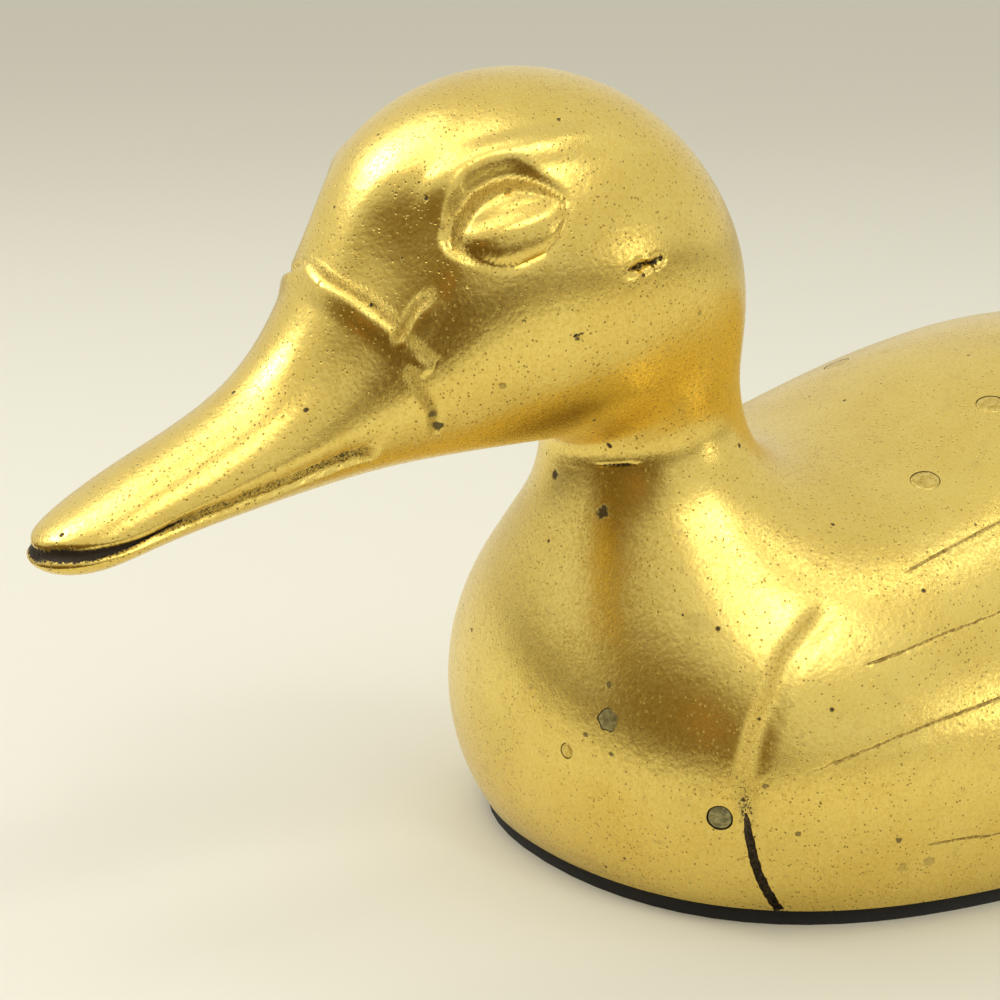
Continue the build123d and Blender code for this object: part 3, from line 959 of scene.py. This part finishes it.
# Brow, and the hollow of the lores between eye and bill
brow_rise = 0.0007
brow_width = 0.0036
lore_depth = 0.0013
lore_radius = 0.0088
lore_stretch = np.array([1, 1, 1.35])
gap, share, _ = from_line(points, *laid_line(at_head, brow_shares, on_flank, step=0.0015))
relief += brow_rise * swell(gap, brow_width) * ease(share, 0, 0.25) * (1 - ease(share, 0.7, 1))
lore_centre, _ = on_flank(at_head(*lore_share))
relief -= lore_depth * swell(np.linalg.norm((points - lore_centre) / lore_stretch, axis=1), lore_radius)

# Edge of the bill: it swells to a lip that overlaps the face, turns up short of the cheek and
# falls to the gape, with a rough seam beside it
lip_width = 0.0034
lip_edge_width = 0.0006
seam_width = 0.0012
groove_offset, groove_width = 0.0009, 0.0011
end_fade, far_end_fade = 0.001, 0.0016
edge_reach = 0.005
# Each stretch has its lip's rise, its seam's depth, and the side of the line that the seam is on
for edge_shares, lip, seam_depth, seam_side in (
    (bill_edge_shares, 0.00050, 0.00040, 1), (face_edge_shares, 0.00035, 0.00030, 1),
    (gape_shares, 0.00022, 0.00025, -1),
):
    gap, share, aside = from_line(points, *laid_line(at_face, edge_shares, on_front, step=0.0008))
    aside = aside * seam_side
    if edge_shares is bill_edge_shares:  # it runs on over the bridge of the bill
        fade = 0.35 + 0.65 * ease(share, 0.02, 0.3)
    else:
        past_end = np.sqrt(np.clip(gap**2 - aside**2, 0, None))
        fade = (1 - ease(past_end, 0, end_fade)) * (1 - ease(past_end, 0, far_end_fade))
    fade = fade * (1 - 0.6 * ease(share, 0.7, 1)) * (gap < edge_reach)
    relief += fade * lip * np.where(aside < 0, swell(-aside, lip_width), 1 - ease(aside, 0, lip_edge_width))
    relief -= fade * seam_depth * swell(np.abs(aside - groove_offset), groove_width) * (1 + 0.7 * grit)
    seam = fade * swell(np.abs(aside - seam_width), seam_width)
    rough_cast = np.maximum(rough_cast, seam)
    # The rough seam is painted dark in places: painted shade together with soot
    soot = np.maximum(soot, seam * ease(grit, 0.2, 0.5) * 0.75)

# Mouth: a deep slit under the upper half's edge that widens into a rough band between the halves,
# with a hollow ledge over it
ledge_depth = 0.0008
mouth_slit_depth = 0.0007
band_depth = 0.00040
band_step = 0.0004
mouth_reach = 0.008
mouth_fade = 0.0012
band_least, band_more = 0.00055, 0.0004
ledge_least, ledge_more = 0.0014, 0.0040
slit_most, slit_less = 0.0017, 0.0010
mouth_line, mouth_outs = laid_line(at_bill, mouth_shares, on_flank, step=0.001)
mouth_line = np.concatenate([[at_bill(*bill_tip_share)], mouth_line])
mouth_outs = np.concatenate([[[-1.0, 0, 0]], mouth_outs])
gap, share, aside = from_line(points, mouth_line, mouth_outs)
past_end = np.sqrt(np.clip(gap**2 - aside**2, 0, None))
fade = 1 - ease(past_end, 0, mouth_fade) * (share > 0.5)
fade = fade * (1 - ease(share, 0.96, 1)) * (gap < mouth_reach)
band_half = band_least + band_more * ease(share, 0.25, 0.45)
ledge_width = ledge_least + ledge_more * ease(share, 0.35, 0.9)
rise = np.clip((aside - band_half) / (ledge_width - band_half), 0, 1)
ledge = np.where(aside > band_half, (1 - rise) ** 2, ease(aside, -band_half - band_step, -band_half))
slit = (1 - ease(share, 0.3, 0.45)) * swell(gap, slit_most - slit_less * ease(share, 0, 0.35))
relief -= fade * (ledge_depth * ledge * ease(share, 0.0, 0.4) + mouth_slit_depth * slit)
band = fade * ease(share, 0.25, 0.42) * (1 - ease(np.abs(aside), band_half * 0.8, band_half * 1.15))
relief -= band_depth * band * (0.4 + grit)
rough_cast = np.maximum(rough_cast, band)
# The slit under the upper half's edge is painted dark as its shadow, and the rough band as painted shade
# together with soot
soot = np.maximum(soot, np.maximum(1.6 * fade * slit, band * (0.55 + 0.25 * coarse)))

# Hand work left this skin uneven too
hammer_depth = 0.00013
hammer_sizes = (0.016, 0.006)
joint_fade = 0.012
head_skin, head_out, relief, soot, rough_cast = whole_skin(head_half, relief, soot, rough_cast)
worked = ease(over_joint(head_skin) - braze_width, 0, joint_fade)
relief -= hammer_depth * worked * hammered(head_skin, hammer_sizes, seed=7)

# Blow holes and cracks are on the left flank only. Each has its place, length, width and depth.
hole_along, hole_up = 0.97, 0.24
hole_reach = 0.006
for x_share, z_share, length, width, depth in (
    (-0.264, 0.532, 0.0019, 0.00055, 0.0012), (-0.227, 0.541, 0.0017, 0.00045, 0.0010),
    (-0.394, 0.366, 0.0009, 0.00030, 0.0003), (-0.128, -0.066, 0.0018, 0.00028, 0.0004),
):
    hole, _ = on_flank(at_head(x_share, z_share))
    x, y, z = np.moveaxis(head_skin - hole, 2, 0)
    run, climb = x * hole_along + z * hole_up, z * hole_along - x * hole_up
    hole_share = swell(np.sqrt((run / length) ** 2 + (climb / width) ** 2 + (y / hole_reach) ** 2), 1.5)
    relief -= depth * hole_share
    # Each hole is painted dark: painted shade in it together with soot
    soot = np.maximum(soot, ease(hole_share, 0.15, 0.5) * 0.9)

# The neck end steps in to a spigot, and the tip of the bill is closed
head_mesh = sheet_of(head_skin + head_out * relief[..., None], soot=soot, rough_cast=rough_cast)
for loop in open_loops(head_mesh):
    if loop[0].co.x > neck_x - face_reach / 2:
        shoulder = next_loop(head_mesh, loop, braze_depth, joint_up, 0)
        loop = next_loop(head_mesh, shoulder, 0, joint_up, -braze_width)
    head_mesh.faces.new(loop)
as_piece(head_mesh, "cast_head", head_brass, "head_casting")


# Plugs close the holes that the core's pins left in the casting. Each is a short brass pin,
# driven in, filed flush with the skin and since gone dull, with a dark line round it: painted shade in the
# gap of its bore.
plug_length = 0.0035
plug_sides = 48
plug_crust_size = 0.8
wall_reach = 0.01
plug_sinks = [(0.3, 0.00002), (0.65, 0.00003), (0.88, 0.00006), (0.97, 0.00012), (1.0, 0.00028)]
grey_plug = (0.17, 0.16, 0.08, 1)
grey_plug_light = (0.42, 0.37, 0.18, 1)
half_width = np.array([0, body_width / 2, 0])
# Each name, place, way of sighting, radius, gap in the bore, unevenness and greyness
plug_places = [
    ("breast_plug", at_body(-0.044, 0.240), on_flank, 0.0017, 0.00018, 0.05, 1.0),
    ("fore_back_plug", at_body(0.197, 0.776), on_flank, 0.0022, 0.00003, 0.03, 0.2),
    ("aft_back_plug", at_body(0.298, 0.885), on_flank, 0.0022, 0.00003, 0.03, 0.2),
    ("crop_plug", at_body(0, 0.388) - half_width * 0.363, on_front, 0.0016, 0.00006, 0.20, 0.9),
    ("crop_pin", at_body(0, 0.304) - half_width * 0.236, on_front, 0.0011, 0.00008, 0.06, 0.1),
]


def driven_pin(mesh, spot, outward, side, radius, broken, sinks, foot):
    """Adds a closed pin, whose top follows the skin at sinks under it by share of the radius"""
    turn_to = Vector(outward).to_track_quat("Z", "Y")
    rings = []
    for share, sink in sinks + [(1.0, foot)]:
        ring = []
        for turn in np.arange(plug_sides) * math.tau / plug_sides:
            spoke = Vector((math.cos(turn), math.sin(turn), 0))
            lump = 1 + broken * noise.noise(spoke * 1.7 + Vector(spot) * 900)
            place = np.array(Vector(spot) + turn_to @ (spoke * radius * share * lump))
            if sink < foot:
                place, _ = sighted(place + outward * wall_reach, -outward)
            x, y, z = place - outward * sink
            ring.append(mesh.verts.new((x, y * side, z)))
        rings.append(ring)
    bar(mesh, rings)


def plug_brass(name, greyness):
    """Dull pitted brass of one plug, from the castings' yellow to grey"""
    material, finish, place = new_material(name, Metallic=0.95)
    crust = cloud(place, plug_crust_size, 5.0, 0.7)
    crust_share = spread(crust, 0.35, 0.65)
    pits = use_group(pin_holes, place, Density=2.2, Share=0.5, Radius=0.3)
    grey = blend(crust_share, grey_plug, grey_plug_light)
    yellow = blend(crust_share, deep_brass_colour, brass_colour)
    tone = add_node(material.node_tree, "ShaderNodeValue").outputs[0]
    tone.default_value = greyness
    link(blend(pits, blend(tone, yellow, grey), pit_colour), finish, "Base Color")
    dulled = 0.12 * greyness
    link(spread(crust, 0.3, 0.7, 0.26 + dulled, 0.36 + dulled), finish, "Roughness")
    dent(maths("SUBTRACT", crust, pits), finish, 0.7, 0.0001)
    return material


drill_mesh = bmesh.new()
for name, place, sight, radius, bore_gap, broken, greyness in plug_places:
    material = plug_brass(name.replace("_", " ") + " brass", greyness)
    spot, outward = sight(place)
    sides = {"left": 1} if sight is on_front else {"left": 1, "right": -1}
    for side_name, side in sides.items():
        pin_mesh = bmesh.new()
        driven_pin(pin_mesh, spot, outward, side, radius, broken, plug_sinks, plug_length)
        plug = name + "_" + side_name
        as_piece(pin_mesh, plug + "_pin", material, plug)
        bore_top = [(1.0, -plug_length)]
        driven_pin(drill_mesh, spot, outward, side, radius + bore_gap, broken, bore_top, plug_length * 1.02)
# The gaps round the plugs take the near-black crevice colour: the dark line round each plug is painted shade
cut(body, drill_mesh, crevice)


# A thin board closes the foot. It lies in the rebate inside the rim, out of sight above the felt.
board_colour = (0.33, 0.20, 0.10, 1)
board_dark_colour = (0.20, 0.11, 0.05, 1)
board_material, finish, place = new_material("base board", Roughness=0.65)
stretch = add_node(board_material.node_tree, "ShaderNodeMapping", Scale=(0.04, 0.5, 0.5))
link(place, stretch, "Vector")
fibres = cloud(stretch.outputs["Vector"], 1.0, 6.0)
link(blend(spread(fibres, 0.35, 0.65), board_colour, board_dark_colour), finish, "Base Color")
dent(fibres, finish, 0.4, 0.0002)
for board_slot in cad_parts["base_board"].material_slots:
    board_slot.material = board_material


# A pad of thick black felt is glued under the board and cut a little inside the brass rim.
# Its cut edge is soft and fibrous, and it is what the duck stands on.
felt_inset = 0.0009
felt_levels = 5
fray_depth = 0.0001
tuft_size, wave_length = 0.0012, 0.006
felt_colour = (0.006, 0.006, 0.006, 1)
felt_light_colour = (0.022, 0.02, 0.019, 1)
felt_material, finish, place = new_material(
    "black felt", Roughness=0.95, Sheen_Weight=0.08, Sheen_Roughness=0.6
)
lint = cloud(place, 0.2, 6.0, 0.8, 1.2)
link(blend(spread(lint, 0.4, 0.7), felt_colour, felt_light_colour), finish, "Base Color")
dent(lint, finish, 0.8, 0.0003)

felt_mesh = bmesh.new()
outline = [felt_mesh.verts.new((x, y, 0)) for x, y in foot_outline[::2]]
loop = next_loop(felt_mesh, outline, felt_inset, (0, 0, 1), 0)
bmesh.ops.delete(felt_mesh, geom=outline, context="VERTS")
felt_mesh.faces.new(loop)
for level in range(1, felt_levels + 1):
    loop = next_loop(felt_mesh, loop, 0, (0, 0, 1), felt_thickness / felt_levels)
    if level < felt_levels:
        for point in loop:
            fray = 1.2 * noise.noise(point.co / tuft_size) + noise.noise(point.co / wave_length) - 1
            outward = Vector((point.co.x - foot_centre[0], point.co.y, 0)).normalized()
            point.co += outward * fray * fray_depth
felt_mesh.faces.new(loop)
as_piece(felt_mesh, "felt_pad_cut", felt_material, "felt_pad")


# The duck stands on a plain pale table top, in soft light from the room: a bright window behind
# its head, lamps overhead and to the right of the camera, and a dim corner before its breast.
table_colour = (0.77, 0.755, 0.66, 1)
table_far_shade_colour = (0.68, 0.66, 0.56, 1)
table_depth_mm = 900.0
table_corners = [(-0.10, -0.45, 0), (3.0, -0.45, 0), (3.0, 3.0, 0), (-0.79, 3.0, 0)]
table_data = bpy.data.meshes.new("table")
table_data.from_pydata(table_corners, [], [(0, 1, 2, 3)])
table = bpy.data.objects.new("table", table_data)
bpy.context.collection.objects.link(table)
table_material, finish, place = new_material("pale table", Roughness=0.8, Specular_IOR_Level=0.2)
parted = add_node(table_material.node_tree, "ShaderNodeSeparateXYZ")
link(place, parted, 0)
# The table is painted darker with distance: painted shade where the room's light falls off
far_shade_share = spread(parted.outputs["Y"], 0.0, table_depth_mm)
link(blend(far_shade_share, table_colour, table_far_shade_colour), finish, "Base Color")
table_data.materials.append(table_material)


def room_direction(turn, tilt):
    """Direction in the room, turned left from straight out of the duck's left side and tilted up"""
    turn, tilt = math.radians(turn), math.radians(tilt)
    return Vector((-math.sin(turn) * math.cos(tilt), -math.cos(turn) * math.cos(tilt), math.sin(tilt)))


room_colour = (1.0, 0.98, 0.90, 1)
corner_colour = (0.27, 0.18, 0.055, 1)
low_colour = (0.18, 0.11, 0.03, 1)
corner_turn = 70
corner_stretch = (1, 1, 1.3)
horizon_blend = (-0.05, 0.02)
scene = bpy.context.scene
scene.view_settings.view_transform = "Standard"
scene.world = bpy.data.worlds.new("room")
scene.world.use_nodes = True
tree = scene.world.node_tree
sky = next(node for node in tree.nodes if node.type == "BACKGROUND")
facing = add_node(tree, "ShaderNodeTexCoord").outputs["Generated"]
tall = add_node(tree, "ShaderNodeVectorMath", operation="MULTIPLY")
tall.inputs[1].default_value = corner_stretch
link(facing, tall, 0)
even = add_node(tree, "ShaderNodeVectorMath", operation="NORMALIZE")
link(tall.outputs[0], even, 0)
toward = add_node(tree, "ShaderNodeVectorMath", operation="DOT_PRODUCT")
toward.inputs[1].default_value = room_direction(corner_turn, 0)
link(even.outputs[0], toward, 0)
cornered = blend(spread(toward.outputs["Value"], 0.72, 0.88), room_colour, corner_colour)
rise = add_node(tree, "ShaderNodeSeparateXYZ")
link(facing, rise, 0)
low_share = spread(rise.outputs["Z"], *horizon_blend, 1.0, 0.0)
link(blend(low_share, cornered, low_colour), sky, "Color")
sky.inputs["Strength"].default_value = 0.8

# Lamps and camera hang in the room, aimed at one place in the duck's front half
aim = Vector((-0.0685, 0, 0.0575))
camera_turn, camera_tilt, camera_roll = 33.0, 14.5, 0.5
camera_distance = 0.35
film_width_mm, lens_mm = 36, 88.2


def hang(name, data, turn, tilt, distance, roll=0.0):
    """Hangs a lamp or the camera in the room, facing the aim"""
    away = room_direction(turn, tilt)
    hung = bpy.data.objects.new(name, data)
    hung.location = aim + away * distance
    hung.rotation_mode = "QUATERNION"
    hung.rotation_quaternion = away.to_track_quat("Z", "Y") @ Quaternion((0, 0, 1), math.radians(roll))
    bpy.context.collection.objects.link(hung)
    return hung


# Each name, turn, tilt, distance, width, height, radiance and colour
for name, turn, tilt, distance, width, height, radiance, colour in (
    ("window", 138, 52, 1.0, 0.50, 0.60, 2.2, (1, 1, 1)),
    ("window_core", 136, 44, 0.98, 0.18, 0.24, 8.0, (1, 1, 1)),
    ("skylight", 90, 76, 1.0, 0.30, 0.50, 1.6, (1, 1, 1)),
    ("ceiling_lamp", 12, 54, 1.0, 0.60, 0.35, 1.9, (1, 1, 0.95)),
    ("ceiling_core", -5, 58, 0.98, 0.12, 0.12, 8.0, (1, 1, 0.95)),
    ("side_lamp", -30, 6, 0.8, 0.10, 0.16, 3.2, (1, 1, 0.95)),
    ("brow_lamp", -54, 62, 1.0, 0.14, 0.14, 3.0, (1, 1, 0.95)),
    ("warm_lamp", 62, 7, 0.8, 0.10, 0.06, 0.9, (1, 0.42, 0.15)),
):
    lamp_data = bpy.data.lights.new(name, "AREA")
    lamp_data.shape = "RECTANGLE"
    lamp_data.size, lamp_data.size_y = width, height
    lamp_data.energy = radiance * math.pi * width * height
    lamp_data.color = colour
    hang(name, lamp_data, turn, tilt, distance)

camera_data = bpy.data.cameras.new("camera")
camera_data.sensor_width = film_width_mm
camera_data.lens = lens_mm
scene.camera = hang("camera", camera_data, camera_turn, camera_tilt, camera_distance, camera_roll)

bpy.context.view_layer.update()
